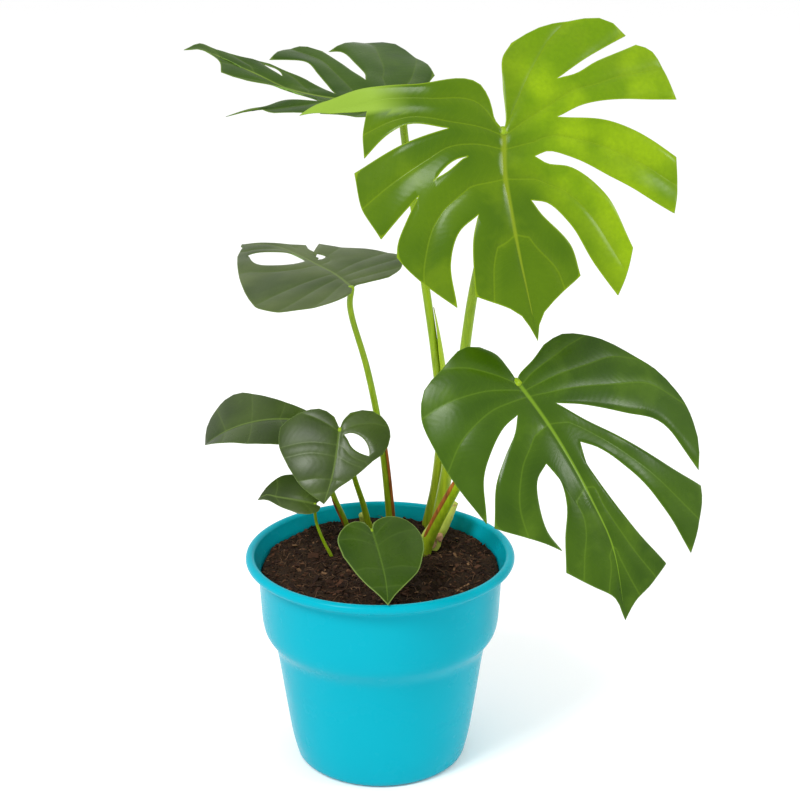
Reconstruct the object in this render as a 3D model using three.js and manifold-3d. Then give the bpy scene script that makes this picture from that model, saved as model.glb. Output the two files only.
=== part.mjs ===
// A potted monstera: eight leaves on their own petioles, rising from two short crowns in a
// bark and coir mix, in a moulded nursery pot. Millimetres, +Z up; the origin is the centre
// of the pot's flat underside, and the plant's front faces -Y.
import * as THREE from 'three';
import { mergeVertices } from 'three/addons/utils/BufferGeometryUtils.js';
import Module from 'manifold-3d';

const wasm = await Module();
wasm.setup();

// ---- driving dimensions ----
const RIM_RADIUS = 85;          // outside of the rolled rim
const RIM_HEIGHT = 139.5;       // top of the rolled rim
const BEAD_RADIUS = 3;          // section of the rolled rim, slightly flattened
const WALL = 1.8;               // pot wall and floor
const FLOOR = 3;
const DRAIN_HOLES = 6;
const DRAIN_HOLE_RADIUS = 4;
const DRAIN_CIRCLE = 36;
const SOIL_LEVEL = 127.5;       // mean height of the potting mix
const SOIL_LUMP = 1.6;          // its lumps, up or down
const GAP = 0.4;                // clearance between separate pieces
const BLADE = 0.9;              // thickness of a leaf blade
const COLUMNS = 8;              // cells from midrib to margin
const ROWS = 4;                 // cells along each lobe, unless the leaf has its own
const POT_SIDES = 48;

// ---- materials ----
const finish = (color, roughness, metalness = 0) =>
  new THREE.MeshStandardMaterial({ color, roughness, metalness, side: THREE.DoubleSide });
const turquoise = finish(0x12b4c6, 0.3);
const barkMix = finish(0x3a2a1e, 0.95);
const paleStem = finish(0xb6b458, 0.55);
const stalkGreen = finish(0x8fae2e, 0.4);
const youngGreen = finish(0x6fa30f, 0.35);
const deepGreen = finish(0x2f5c0c, 0.3);
const greyGreen = finish(0x4d6638, 0.4);

const plant = new THREE.Group();

function addPart(name, geometry, material) {
  const mesh = new THREE.Mesh(geometry, material);
  mesh.name = name;
  plant.add(mesh);
}

// ---- solids ----
function geometryFrom(vertices, triangles) {
  const geometry = new THREE.BufferGeometry();
  geometry.setAttribute('position', new THREE.Float32BufferAttribute(vertices.flat(), 3));
  geometry.setIndex(triangles.flat());
  return geometry;
}

function toSolid(geometry) {
  const bare = geometry.clone();
  bare.deleteAttribute('normal');
  bare.deleteAttribute('uv');
  const merged = mergeVertices(bare, 1e-4);
  const mesh = new wasm.Mesh({
    numProp: 3,
    vertProperties: new Float32Array(merged.getAttribute('position').array),
    triVerts: new Uint32Array(merged.getIndex().array),
  });
  return new wasm.Manifold(mesh);
}

function fromSolid(solid) {
  const mesh = solid.getMesh();
  const geometry = new THREE.BufferGeometry();
  geometry.setAttribute('position', new THREE.BufferAttribute(mesh.vertProperties, 3));
  geometry.setIndex(new THREE.BufferAttribute(mesh.triVerts, 1));
  return geometry;
}

// A closed loft through rings of points, with a fan over each end
function loft(rings) {
  const sides = rings[0].length;
  const vertices = rings.flat().map((p) => p.toArray());
  const triangles = [];
  for (let ring = 0; ring + 1 < rings.length; ring++) {
    for (let side = 0; side < sides; side++) {
      const a = ring * sides + side;
      const b = ring * sides + (side + 1) % sides;
      triangles.push([a, b, b + sides], [a, b + sides, a + sides]);
    }
  }
  const last = (rings.length - 1) * sides;
  const centre = (ring) => ring.reduce((sum, p) => sum.add(p), new THREE.Vector3()).divideScalar(sides);
  const bottom = vertices.push(centre(rings[0]).toArray()) - 1;
  const top = vertices.push(centre(rings.at(-1)).toArray()) - 1;
  for (let side = 0; side < sides; side++) {
    const next = (side + 1) % sides;
    triangles.push([bottom, next, side], [top, last + side, last + next]);
  }
  return geometryFrom(vertices, triangles);
}

// ---- pot ----
// The outside wall as radius and height, from the floor's corner up to the collar's top
const potWall = [
  [55, 3.5], [57.6, 15], [60, 30], [62.6, 48], [65, 65], [66.7, 76],
  [69.2, 81.5], [72.6, 86.5], [74.6, 91], [75.4, 96], [77, 112], [78, 133],
];

function potProfile() {
  const outside = [[0, 0], [49.5, 0], [53.2, 1.2], ...potWall];
  const beadCentre = [RIM_RADIUS - BEAD_RADIUS, RIM_HEIGHT - BEAD_RADIUS];
  const bead = [];
  for (let step = 0; step <= 8; step++) {
    const angle = -Math.PI / 3 + (step / 8) * (4 * Math.PI / 3);
    const [out, up] = [Math.cos(angle), Math.sin(angle)];
    bead.push([beadCentre[0] + BEAD_RADIUS * out, beadCentre[1] + BEAD_RADIUS * up]);
  }
  const inside = potWall.slice(1).reverse().map(([radius, height]) => [radius - WALL, height]);
  const floor = [[54, FLOOR + 2.5], [51, FLOOR], [0, FLOOR]];
  return [...outside, ...bead, ...inside, ...floor];
}

function turned(profile, sides) {
  const points = profile.map(([radius, height]) => new THREE.Vector2(radius, height));
  const geometry = new THREE.LatheGeometry(points, sides);
  geometry.rotateX(Math.PI / 2);
  return geometry;
}

function buildPot() {
  let pot = toSolid(turned(potProfile(), POT_SIDES));
  for (let hole = 0; hole < DRAIN_HOLES; hole++) {
    const angle = (2 * Math.PI * hole) / DRAIN_HOLES;
    const drill = new THREE.CylinderGeometry(DRAIN_HOLE_RADIUS, DRAIN_HOLE_RADIUS, 4 * FLOOR, 12);
    drill.rotateX(Math.PI / 2);
    drill.translate(DRAIN_CIRCLE * Math.cos(angle), DRAIN_CIRCLE * Math.sin(angle), 0);
    pot = pot.subtract(toSolid(drill));
  }
  addPart('pot', fromSolid(pot), turquoise);
}

// ---- stalks ----
// A round stalk along hand-set points, with a radius for each point
function stalk(route, radii, { sides = 8, steps = 14, grow = 0 } = {}) {
  const curve = new THREE.CatmullRomCurve3(route.map((p) => new THREE.Vector3(...p)), false, 'centripetal');
  const { normals, binormals } = curve.computeFrenetFrames(steps, false);
  const rings = [];
  for (let step = 0; step <= steps; step++) {
    const along = step / steps;
    const centre = curve.getPointAt(along);
    const place = along * (radii.length - 1);
    const before = Math.min(Math.floor(place), radii.length - 2);
    const radius = grow + THREE.MathUtils.lerp(radii[before], radii[before + 1], place - before);
    const ring = [];
    for (let side = 0; side < sides; side++) {
      const angle = (2 * Math.PI * side) / sides;
      ring.push(centre.clone()
        .addScaledVector(normals[step], radius * Math.cos(angle))
        .addScaledVector(binormals[step], radius * Math.sin(angle)));
    }
    rings.push(ring);
  }
  return loft(rings);
}

// ---- blades ----
const spline = (points) =>
  new THREE.CatmullRomCurve3(points.map(([x, y]) => new THREE.Vector3(x, y, 0)), false, 'centripetal');

// Points along a spline, evenly spaced, without its start
function walk(points, count) {
  const curve = spline(points);
  return Array.from({ length: count }, (_, step) => curve.getPointAt((step + 1) / count));
}

const mix = (a, b, t) => a.clone().lerp(b, t);

// The flat sheet of a blade. Lines run from the midrib out to the margin; between two lobes
// such a line is shared as far as the cleft's inner end, and then it parts into two edges.
function flatSheet(leaf) {
  const points = [];
  const triangles = [];
  const put = (point) => points.push(point) - 1;
  const midrib = spline(leaf.midrib);
  const roots = [0, ...leaf.roots, 1];
  const rows = leaf.rows ?? ROWS;
  const spine = [];
  for (let lobe = 0; lobe + 1 < roots.length; lobe++) {
    for (let row = 0; row < rows; row++) {
      spine.push(put(midrib.getPointAt(THREE.MathUtils.lerp(roots[lobe], roots[lobe + 1], row / rows))));
    }
  }
  const tip = put(midrib.getPointAt(1));
  spine.push(tip);

  for (const [direction, half] of [[-1, leaf.left], [1, leaf.right]]) {
    const flat = (list) => list.map(([x, y]) => [direction * x, y]);
    const lines = [];
    const sinus = [points[spine[0]].toArray().slice(0, 2), ...flat(half.sinus)];
    lines.push({ fore: [spine[0], ...walk(sinus, COLUMNS).map(put)] });
    half.clefts.forEach((cleft, index) => {
      const root = spine[(index + 1) * rows];
      const stem = [points[root].toArray().slice(0, 2), ...flat(cleft.stem)];
      const end = stem.at(-1);
      const cut = cleft.back !== undefined;
      let shared = COLUMNS;
      if (cut) {
        const stemLength = spline(stem).getLength();
        const openLength = spline([end, ...flat(cleft.back)]).getLength();
        shared = Math.round((COLUMNS * stemLength) / (stemLength + openLength));
        shared = Math.min(Math.max(shared, 1), COLUMNS - 3);
      }
      const back = [root];
      const fore = [root];
      walk(stem, shared).forEach((point, step, line) => {
        const [from, to, width] = cleft.hole ?? [0, 0, 0];
        const through = ((step + 1) / shared - from) / (to - from);
        if (cleft.hole && through > 0.01 && through < 0.99) {
          const previous = line[step - 1] ?? points[root];
          const across = new THREE.Vector3(previous.y - point.y, point.x - previous.x, 0).normalize();
          const half = direction * (width / 2) * Math.sin(Math.PI * through) ** 0.8;
          back.push(put(point.clone().addScaledVector(across, -half)));
          fore.push(put(point.clone().addScaledVector(across, half)));
        } else {
          const id = put(point);
          back.push(id);
          fore.push(id);
        }
      });
      if (cut) {
        back.push(...walk([end, ...flat(cleft.back)], COLUMNS - shared).map(put));
        fore.push(...walk([end, ...flat(cleft.fore)], COLUMNS - shared).map(put));
      }
      lines.push({ back, fore });
    });
    lines.push({ back: new Array(COLUMNS + 1).fill(tip) });

    for (let lobe = 0; lobe + 1 < lines.length; lobe++) {
      const first = lines[lobe].fore;
      const last = lines[lobe + 1].back;
      const ends = [points[first.at(-1)], points[last.at(-1)]].map((p) => [p.x, p.y]);
      const margin = spline([ends[0], ...flat(half.margins[lobe]), ends[1]]);
      const grid = [first];
      // How far an edge bows off the straight line between its ends. The last lobe tapers to
      // the tip, and its one edge counts for less and less towards it
      const bow = (edge, column) => points[edge[column]].clone()
        .sub(mix(points[edge[0]], points[edge[COLUMNS]], column / COLUMNS));
      const fade = lobe + 2 === lines.length ? 2 : 1;
      for (let row = 1; row < rows; row++) {
        const v = row / rows;
        const inner = points[spine[lobe * rows + row]];
        const outer = margin.getPointAt(v);
        const line = [spine[lobe * rows + row]];
        for (let column = 1; column <= COLUMNS; column++) {
          const u = column / COLUMNS;
          const place = mix(inner, outer, u)
            .addScaledVector(bow(first, column), (1 - v) ** fade)
            .addScaledVector(bow(last, column), v);
          line.push(put(column === COLUMNS ? outer : place));
        }
        grid.push(line);
      }
      grid.push(last);
      for (let row = 0; row < rows; row++) {
        for (let column = 0; column < COLUMNS; column++) {
          const a = grid[row][column];
          const b = grid[row][column + 1];
          const c = grid[row + 1][column + 1];
          const d = grid[row + 1][column];
          for (const [p, q, r] of [[a, b, c], [a, c, d]]) {
            if (p === q || q === r || r === p) continue;
            triangles.push(direction > 0 ? [p, q, r] : [p, r, q]);
          }
        }
      }
    }
  }
  return { points, triangles };
}

// The leaf's own axes: across the blade, along the midrib, and up out of its face
function leafFrame({ heading, slope, roll }) {
  const [turn, rise, lean] = [heading, slope, roll].map(THREE.MathUtils.degToRad);
  const ahead = new THREE.Vector3(Math.sin(turn), Math.cos(turn), 0).multiplyScalar(Math.cos(rise));
  const along = ahead.setZ(Math.sin(rise));
  const level = new THREE.Vector3(Math.cos(turn), -Math.sin(turn), 0);
  const lifted = level.clone().cross(along);
  const across = level.multiplyScalar(Math.cos(lean)).addScaledVector(lifted, -Math.sin(lean));
  return { across, along, up: across.clone().cross(along) };
}

// An arc that starts at an angle and curls by so much for each millimetre: how far out and up
function arc(distance, start, curl) {
  if (Math.abs(curl) < 1e-6) return [distance * Math.cos(start), distance * Math.sin(start)];
  const end = start - curl * distance;
  return [(Math.sin(start) - Math.sin(end)) / curl, (Math.cos(end) - Math.cos(start)) / curl];
}

// Rolls what lies past a line round a bar of the given radius, down or, at a negative angle, up
function rollOver(point, { from, towards, radius, angle }) {
  const beyond = new THREE.Vector2(...towards).normalize();
  const distance = (point.x - from[0]) * beyond.x + (point.y - from[1]) * beyond.y;
  if (distance <= 0) return point;
  const most = Math.abs(THREE.MathUtils.degToRad(angle));
  const bent = Math.min(distance / radius, most);
  const straight = Math.max(0, distance - radius * most);
  const out = radius * Math.sin(bent) + straight * Math.cos(most);
  const down = radius * (1 - Math.cos(bent)) + straight * Math.sin(most);
  return new THREE.Vector3(
    point.x + beyond.x * (out - distance),
    point.y + beyond.y * (out - distance),
    -Math.sign(angle) * down,
  );
}

// Carries a flat point onto the bent blade: each half rises at the midrib and curls down
// towards its margin, and the midrib droops towards the tip
function bend(point, leaf, frame) {
  const side = point.x < 0 ? 0 : 1;
  const start = THREE.MathUtils.degToRad(leaf.fold[side]);
  const [out, lift] = arc(Math.abs(point.x), start, leaf.arch[side]);
  const [forward, drop] = arc(point.y, 0, leaf.bow);
  const tilt = leaf.bow * point.y;
  const height = lift + point.z;
  return new THREE.Vector3(...leaf.junction)
    .addScaledVector(frame.across, side ? out : -out)
    .addScaledVector(frame.along, forward + height * Math.sin(tilt))
    .addScaledVector(frame.up, drop + height * Math.cos(tilt));
}

function buildBlade(leaf) {
  const frame = leafFrame(leaf);
  const { points, triangles } = flatSheet(leaf);
  const folded = points.map((p) => (leaf.rolled && p.x * leaf.rolled.side > 0 ? rollOver(p, leaf.rolled) : p));
  const middle = folded.map((p) => bend(p, leaf, frame));
  const normals = middle.map(() => new THREE.Vector3());
  const edges = new Map();
  for (const [a, b, c] of triangles) {
    const face = middle[b].clone().sub(middle[a]).cross(middle[c].clone().sub(middle[a]));
    for (const id of [a, b, c]) normals[id].add(face);
    for (const [p, q] of [[a, b], [b, c], [c, a]]) {
      if (!edges.delete(`${q} ${p}`)) edges.set(`${p} ${q}`, [p, q]);
    }
  }
  const count = middle.length;
  const skin = (half) => middle.map((p, id) =>
    p.clone().addScaledVector(normals[id].clone().normalize(), half).toArray());
  const solid = [...triangles];
  for (const [a, b, c] of triangles) solid.push([a + count, c + count, b + count]);
  for (const [p, q] of edges.values()) solid.push([q, p, p + count], [q, p + count, q + count]);
  return geometryFrom([...skin(BLADE / 2), ...skin(-BLADE / 2)], solid);
}

// ---- the leaves ----
// Flat outlines are in millimetres from the junction, where the petiole meets the blade:
// x is the distance from the midrib to either side, and y runs towards the tip. Roots are
// fractions of the midrib. A cleft has its stem, to its inner end, and then its two edges.
const leaves = [
  {
    name: 'leaf_1', material: youngGreen, junction: [70, -45, 413],
    heading: 161, slope: -60, roll: 12, fold: [5, 8], arch: [0.003, 0.009], bow: 0.003,
    midrib: [[0, 0], [4, 23], [4, 47], [3, 73], [1, 97], [-1, 120]],
    roots: [0.01, 0.05, 0.14, 0.33],
    left: {
      sinus: [[2, -5], [4, -26], [7, -42], [14, -51]],
      margins: [[[30, -57], [51, -61], [67, -60], [77, -54]], [[94, -38], [99, -28]], [[94, 45]],
        [[56, 90]], [[5, 106]]],
      clefts: [
        { stem: [[12, -9], [35, -25]], back: [[59, -38], [81, -48]], fore: [[47, -27], [60, -33], [86, -42]] },
        { stem: [[12, 2], [31, -3]], back: [[46, -8], [67, -9], [103, -6]],
          fore: [[58, 3], [76, 12], [96, 28]] },
        { stem: [[14, 18]], back: [[22, 16], [34, 21], [58, 37], [89, 60]],
          fore: [[20, 23], [33, 27], [50, 44], [61, 76]] },
        { stem: [[8, 42]], back: [[17, 45], [28, 59], [38, 82], [49, 101]],
          fore: [[12, 50], [26, 70], [29, 87]] },
      ],
    },
    right: {
      sinus: [[4, -6], [5, -18], [9, -28], [18, -33], [40, -34], [57, -38], [75, -42], [96, -44],
        [109, -46], [124, -47]],
      margins: [[[104, -39], [86, -32]], [[80, -15]], [[89, 28]], [[66, 71], [54, 84]], [[7, 104]]],
      clefts: [
        { stem: [[16, -8], [45, -20], [75, -28]] },
        { stem: [[12, 0], [31, -5]], back: [[52, -12], [66, -9], [82, 0]], fore: [[47, -3], [67, 1], [90, 7]] },
        { stem: [[24, 13], [39, 20], [54, 30]], hole: [0.4, 0.75, 3], 
          back: [[66, 39], [80, 50]], fore: [[62, 41], [70, 54], [72, 62]] },
        { stem: [[14, 44], [23, 46]], back: [[35, 54], [42, 70], [42, 95]], fore: [[28, 60], [31, 90]] },
      ],
    },
    rolled: { side: 1, from: [30, -45], towards: [0.14, -1], radius: 10, angle: -15 },
    route: [[34, 40, 112], [37, 42, 130], [40, 42, 153], [49, 33, 221], [57, 20, 297], [64, 2, 345],
      [68, -22, 389]],
    radii: [4.2, 4, 3.4, 3.2, 3, 2.8],
  },
  {
    name: 'leaf_2', material: deepGreen, junction: [14, 30, 419],
    heading: -80, slope: 5, roll: -10, fold: [-4, 14], arch: [0.004, 0.003], bow: 0,
    midrib: [[0, 0], [-6, 20], [-9, 40], [-4, 66], [9, 90], [20, 110], [28, 123], [36, 135], [29, 143]],
    roots: [0.06, 0.26, 0.46],
    left: {
      sinus: [[3, -10], [10, -18]],
      margins: [[[16, -18], [24, -8], [28, 8], [31, 26]], [[35, 61], [37, 70], [34, 78], [40, 86]],
        [], [[-20, 118], [-32, 133]]],
      clefts: [
        { stem: [[14, 18], [26, 38]], back: [[30, 42], [32, 43]], fore: [[30, 46], [33, 52]] },
        { stem: [[16, 47]], back: [[21, 67], [30, 76], [36, 84], [47, 96]],
          fore: [[10, 58], [2, 74], [-1, 96]] },
        { stem: [[-6, 94], [-6, 113]] },
      ],
    },
    right: {
      sinus: [[10, -10], [28, -15]],
      margins: [[[46, -6], [60, 6], [73, 24], [72, 38], [59, 49]], [[51, 73], [41, 84]],
        [], [[30, 110], [34, 123], [40, 136]]],
      clefts: [
        { stem: [[14, 25]], back: [[22, 27], [35, 36], [48, 47], [47, 55]],
          fore: [[22, 33], [33, 44], [47, 59]] },
        { stem: [[-4, 40]], back: [[4, 46], [16, 55], [28, 66], [27, 88]],
          fore: [[4, 54], [12, 66], [23, 87]] },
        { stem: [[13, 78], [27, 100]], hole: [0.3, 0.75, 3] },
      ],
    },
    route: [[30, 60, 112], [32, 59, 130], [37, 56, 162], [40, 52, 208], [36, 47, 250], [24, 39, 335],
      [15, 33, 402]],
    radii: [3.6, 3.4, 3, 2.7, 2.6, 2.4],
  },
  {
    name: 'leaf_3', material: deepGreen, junction: [79, -65, 272],
    heading: 137, slope: -45, roll: 20, fold: [0, 5], arch: [0.003, 0.012], bow: 0.003,
    midrib: [[0, 0], [-3, 25], [-5, 52], [-6, 80], [-6, 108], [4, 150]],
    roots: [0.1, 0.3], rows: 6,
    left: {
      sinus: [[3, -3], [16, -8], [28, -14]],
      margins: [[[43, -16], [62, -6], [82, 15], [94, 35], [98, 56], [93, 78]], [[77, 110], [65, 123]],
        [[21, 138], [6, 143]]],
      clefts: [
        { stem: [[14, 21]], back: [[31, 29], [53, 43], [73, 57], [83, 93]],
          fore: [[26, 37], [49, 64], [67, 87], [80, 102]] },
        { stem: [[16, 47]], back: [[25, 55], [40, 79], [48, 104], [53, 134]],
          fore: [[13, 56], [15, 72], [23, 104], [34, 132]] },
      ],
    },
    right: {
      sinus: [[1, -10], [3, -20], [9, -28]],
      margins: [[[18, -32], [35, -27], [51, -21], [60, -8], [63, 9], [61, 40]], [[48, 75], [31, 90]],
        [[15, 124], [5, 136]]],
      clefts: [
        { stem: [[11, 18]], back: [[22, 21], [35, 30], [46, 42], [56, 66]],
          fore: [[18, 27], [29, 36], [42, 49], [53, 70]] },
        { stem: [[10, 50]], back: [[19, 56], [25, 70], [27, 84], [24, 98]],
          fore: [[7, 62], [10, 76], [19, 92], [27, 110]] },
      ],
    },
    route: [[25, 20, 112], [28, 17, 130], [34, 9, 150], [42, -2, 172], [62, -30, 224], [74, -51, 256]],
    radii: [4, 4, 3.6, 3.3, 3, 2.8],
  },
  {
    name: 'leaf_4', material: greyGreen, junction: [-17, 10, 309],
    heading: -35, slope: 5, roll: -10, fold: [0, 0], arch: [0.002, 0.002], bow: 0.001,
    midrib: [[0, 0], [4, 24], [5, 46], [7, 80], [6, 104], [-4, 125]],
    roots: [0.25, 0.42, 0.8],
    left: {
      sinus: [[6, -9], [12, -12]],
      margins: [[[21, -12], [33, -7], [48, 4], [54, 19], [52, 34]], [[41, 64], [31, 84]], [[14, 111]],
        [[7, 121]]],
      clefts: [
        { stem: [[14, 40], [48, 47]] },
        { stem: [[1, 62], [8, 78], [12, 94], [19, 105]], hole: [0.06, 0.87, 24] },
        { stem: [[-2, 108], [8, 117]] },
      ],
    },
    right: {
      sinus: [[9, -3], [24, -6]],
      margins: [[[34, -2], [41, 4], [49, 14], [50, 26], [47, 36]], [[35, 57], [30, 67]], [[15, 92]],
        [[4, 116]]],
      clefts: [
        { stem: [[20, 40], [42, 46]] },
        { stem: [[12, 52], [15, 65]], hole: [0.2, 0.74, 6],
          back: [[21, 71], [26, 76]], fore: [[16, 73], [19, 81]] },
        { stem: [[8, 103], [9, 106]] },
      ],
    },
    route: [[5, 52, 112], [7, 52, 130], [5, 48, 161], [0, 39, 206], [-8, 30, 251], [-17, 18, 288],
      [-18, 14, 298]],
    radii: [3, 2.8, 2.4, 2.2, 2.1, 1.9],
  },
  {
    name: 'leaf_5', material: greyGreen, junction: [-48, 44, 211],
    heading: -91, slope: 8, roll: -23, fold: [8, 7], arch: [0.008, 0.004], bow: 0.013,
    midrib: [[0, 0], [1, 24], [1, 48], [0, 73]],
    roots: [0.35],
    left: {
      sinus: [[4, -6]],
      margins: [[[14, -8], [22, 0], [25, 12]], [[20, 38], [12, 54], [5, 66]]],
      clefts: [{ stem: [[12, 24], [24, 25]] }],
    },
    right: {
      sinus: [[4, -5]],
      margins: [[[8, -1], [13, 10]], [[26, 34], [32, 47], [30, 60], [17, 71]]],
      clefts: [{ stem: [[10, 24], [20, 24]] }],
    },
    route: [[-20, 58, 112], [-22, 58, 130], [-30, 56, 152], [-37, 53, 175], [-44, 48, 196]],
    radii: [2.4, 2.1, 1.9, 1.7, 1.6],
  },
  {
    name: 'leaf_6', material: greyGreen, junction: [-25, 10, 217],
    heading: 186, slope: -50, roll: 0, fold: [5, 5], arch: [0.01, 0.01], bow: 0.005,
    midrib: [[0, 0], [1, 16], [3, 32], [7, 48]],
    roots: [0.06, 0.5],
    left: {
      sinus: [[2, -6], [6, -11]],
      margins: [[[13, -13], [22, -12], [29, -6], [32, 3], [29, 14]], [[18, 24]], [[8, 33], [0, 39]]],
      clefts: [
        { stem: [[7, 5], [13, 10], [18, 15], [22, 20]], hole: [0.12, 0.87, 9] },
        { stem: [[8, 26], [14, 28]] },
      ],
    },
    right: {
      sinus: [[4, -8]],
      margins: [[[12, -13], [22, -12], [32, -7], [39, 0]], [[38, 12]], [[22, 37]]],
      clefts: [{ stem: [[20, 2], [39, 5]] }, { stem: [[16, 22], [31, 25]] }],
    },
    route: [[-4, 56, 112], [-7, 55, 130], [-11, 50, 150], [-16, 40, 171], [-21, 25, 198]],
    radii: [2.4, 2.2, 1.9, 1.7, 1.6],
  },
  {
    name: 'leaf_7', material: greyGreen, junction: [-41, 10, 167],
    heading: -95, slope: 0, roll: -40, fold: [0, 0], arch: [0.008, 0.008], bow: 0.02,
    midrib: [[0, 0], [4, 12], [9, 24], [14, 34], [13, 41]],
    roots: [0.4],
    left: {
      sinus: [[2, -3]],
      margins: [[[5, -2], [7, 4]], [[-1, 22], [-10, 33]]],
      clefts: [{ stem: [[4, 10], [6, 11]] }],
    },
    right: {
      sinus: [[3, -4]],
      margins: [[[12, -5], [19, 3]], [[25, 22], [20, 33]]],
      clefts: [{ stem: [[14, 11], [24, 13]] }],
    },
    route: [[-27, 15, 114], [-30, 14, 126], [-37, 13, 142], [-41, 13, 155]],
    radii: [1.3, 1.1, 1],
  },
  {
    name: 'leaf_8', material: greyGreen, junction: [-5, -35, 168],
    heading: 168, slope: -27, roll: 0, fold: [5, 5], arch: [0.01, 0.01], bow: 0.001,
    midrib: [[0, 0], [-1, 20], [-1, 40], [1, 57]],
    roots: [0.35],
    left: {
      sinus: [[2, -5]],
      margins: [[[7, -8], [14, -9], [22, -6], [28, 1], [30, 9]], [[22, 34], [13, 43], [4, 51]]],
      clefts: [{ stem: [[14, 16], [29, 18]] }],
    },
    right: {
      sinus: [[4, -6]],
      margins: [[[10, -7], [17, -3], [22, 5]], [[13, 38], [5, 50]]],
      clefts: [{ stem: [[12, 16], [21, 19]] }],
    },
    route: [[8, 24, 112], [8, 22, 130], [4, 4, 144], [-2, -16, 154], [-4, -29, 160]],
    radii: [2, 1.9, 1.7, 1.5, 1.4],
  },
];

// A petiole stops short of the blade's underside, square to it
function petioleRoute(leaf) {
  const { up } = leafFrame(leaf);
  const end = new THREE.Vector3(...leaf.junction).addScaledVector(up, -(BLADE / 2 + 1.4));
  return [...leaf.route, end.toArray()];
}

// ---- crowns ----
const crowns = [
  {
    name: 'crown_main', route: [[31, 26, 112], [33, 28, 134], [40, 30, 146], [48, 36, 158]],
    radii: [8, 7.5, 6, 3.5],
  },
  {
    name: 'crown_rear', route: [[-9, 62, 112], [-9, 61, 130], [-12, 58, 140]],
    radii: [6, 5, 2.5],
  },
];

// ---- potting mix ----
function soilHeight(x, y) {
  const swell = Math.sin(x * 0.21 + 1.3) * Math.cos(y * 0.19) + Math.sin((x + y) * 0.13);
  return SOIL_LEVEL + SOIL_LUMP * 0.5 * swell;
}

function soilRings() {
  const inner = potWall.map(([radius, height]) => [radius - WALL - GAP, height]);
  const top = inner.at(-1)[0] - 0.4;
  const profile = [[50, FLOOR + GAP], [53, FLOOR + GAP + 3], ...inner.slice(1, -1)];
  const ring = (radius, height) => Array.from({ length: POT_SIDES }, (_, side) => {
    const angle = (2 * Math.PI * side) / POT_SIDES;
    const [x, y] = [radius * Math.cos(angle), radius * Math.sin(angle)];
    return new THREE.Vector3(x, y, height ?? soilHeight(x, y));
  });
  return [
    ...profile.map(([radius, height]) => ring(radius, height)),
    ...[top, 62, 48, 34, 20, 7].map((radius) => ring(radius)),
  ];
}

function buildPlant() {
  const sockets = [];
  for (const leaf of leaves) {
    const route = petioleRoute(leaf);
    addPart(`${leaf.name}_blade`, buildBlade(leaf), leaf.material);
    addPart(`${leaf.name}_petiole`, stalk(route, leaf.radii), stalkGreen);
    sockets.push(toSolid(stalk(route, leaf.radii, { grow: GAP })));
  }
  let soil = toSolid(loft(soilRings()));
  for (const crown of crowns) {
    let body = toSolid(stalk(crown.route, crown.radii, { sides: 12, steps: 8 }));
    for (const socket of sockets) body = body.subtract(socket);
    addPart(crown.name, fromSolid(body), paleStem);
    soil = soil.subtract(toSolid(stalk(crown.route, crown.radii, { sides: 12, steps: 8, grow: GAP })));
  }
  for (const socket of sockets) soil = soil.subtract(socket);
  addPart('potting_mix', fromSolid(soil), barkMix);
}

buildPot();
buildPlant();

export default plant;
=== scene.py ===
import random
from math import copysign, cos, exp, pi, radians, sin, sqrt

import bmesh
import bpy
from mathutils import Matrix, Vector, kdtree, noise


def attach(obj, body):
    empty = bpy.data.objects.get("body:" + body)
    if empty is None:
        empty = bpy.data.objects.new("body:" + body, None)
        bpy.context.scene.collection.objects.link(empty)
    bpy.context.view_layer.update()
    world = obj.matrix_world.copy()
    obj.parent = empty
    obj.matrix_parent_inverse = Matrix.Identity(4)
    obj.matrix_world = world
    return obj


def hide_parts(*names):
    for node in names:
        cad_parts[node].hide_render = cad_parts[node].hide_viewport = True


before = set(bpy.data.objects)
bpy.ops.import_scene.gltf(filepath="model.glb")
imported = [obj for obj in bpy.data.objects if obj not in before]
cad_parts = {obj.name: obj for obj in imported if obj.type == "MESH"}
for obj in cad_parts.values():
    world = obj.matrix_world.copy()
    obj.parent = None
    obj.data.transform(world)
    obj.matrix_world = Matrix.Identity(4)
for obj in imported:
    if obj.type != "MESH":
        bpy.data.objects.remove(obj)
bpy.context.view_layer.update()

# ---- Nursery pot ----
# One shell of glossy turquoise polypropylene, injection moulded: a tapered body, a shoulder
# where pots nest, a straighter collar for gripping, and a rolled rim. Six drain holes are
# moulded through its floor.
MM = 0.001
RIM_RADIUS = 85
RIM_HEIGHT = 139.5
BEAD_RADIUS = 3
WALL = 1.8
FLOOR = 3
DRAIN_HOLES = 6
DRAIN_HOLE_RADIUS = 4
DRAIN_HOLE_SIDES = 32
DRAIN_CIRCLE = 36
POT_SIDES = 144
BEAD_STEPS = 16
BEAD_START = -72
BEAD_SWEEP = 255
CURVE_STEPS = 24

foot = [(0, 0.6), (44, 0.6), (46, 0), (50, 0), (52.6, 0.8), (54.4, 2.4)]
body_wall = [(55.2, 5), (57.6, 15), (60, 30), (62.6, 48), (65, 65), (66.5, 74)]
shoulder = [(67.3, 77.5), (69.2, 81.5), (71.6, 85), (73.6, 88.4)]
collar = [(74.7, 92), (75.4, 97), (76.3, 112), (77, 124), (77.6, 131)]


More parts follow.
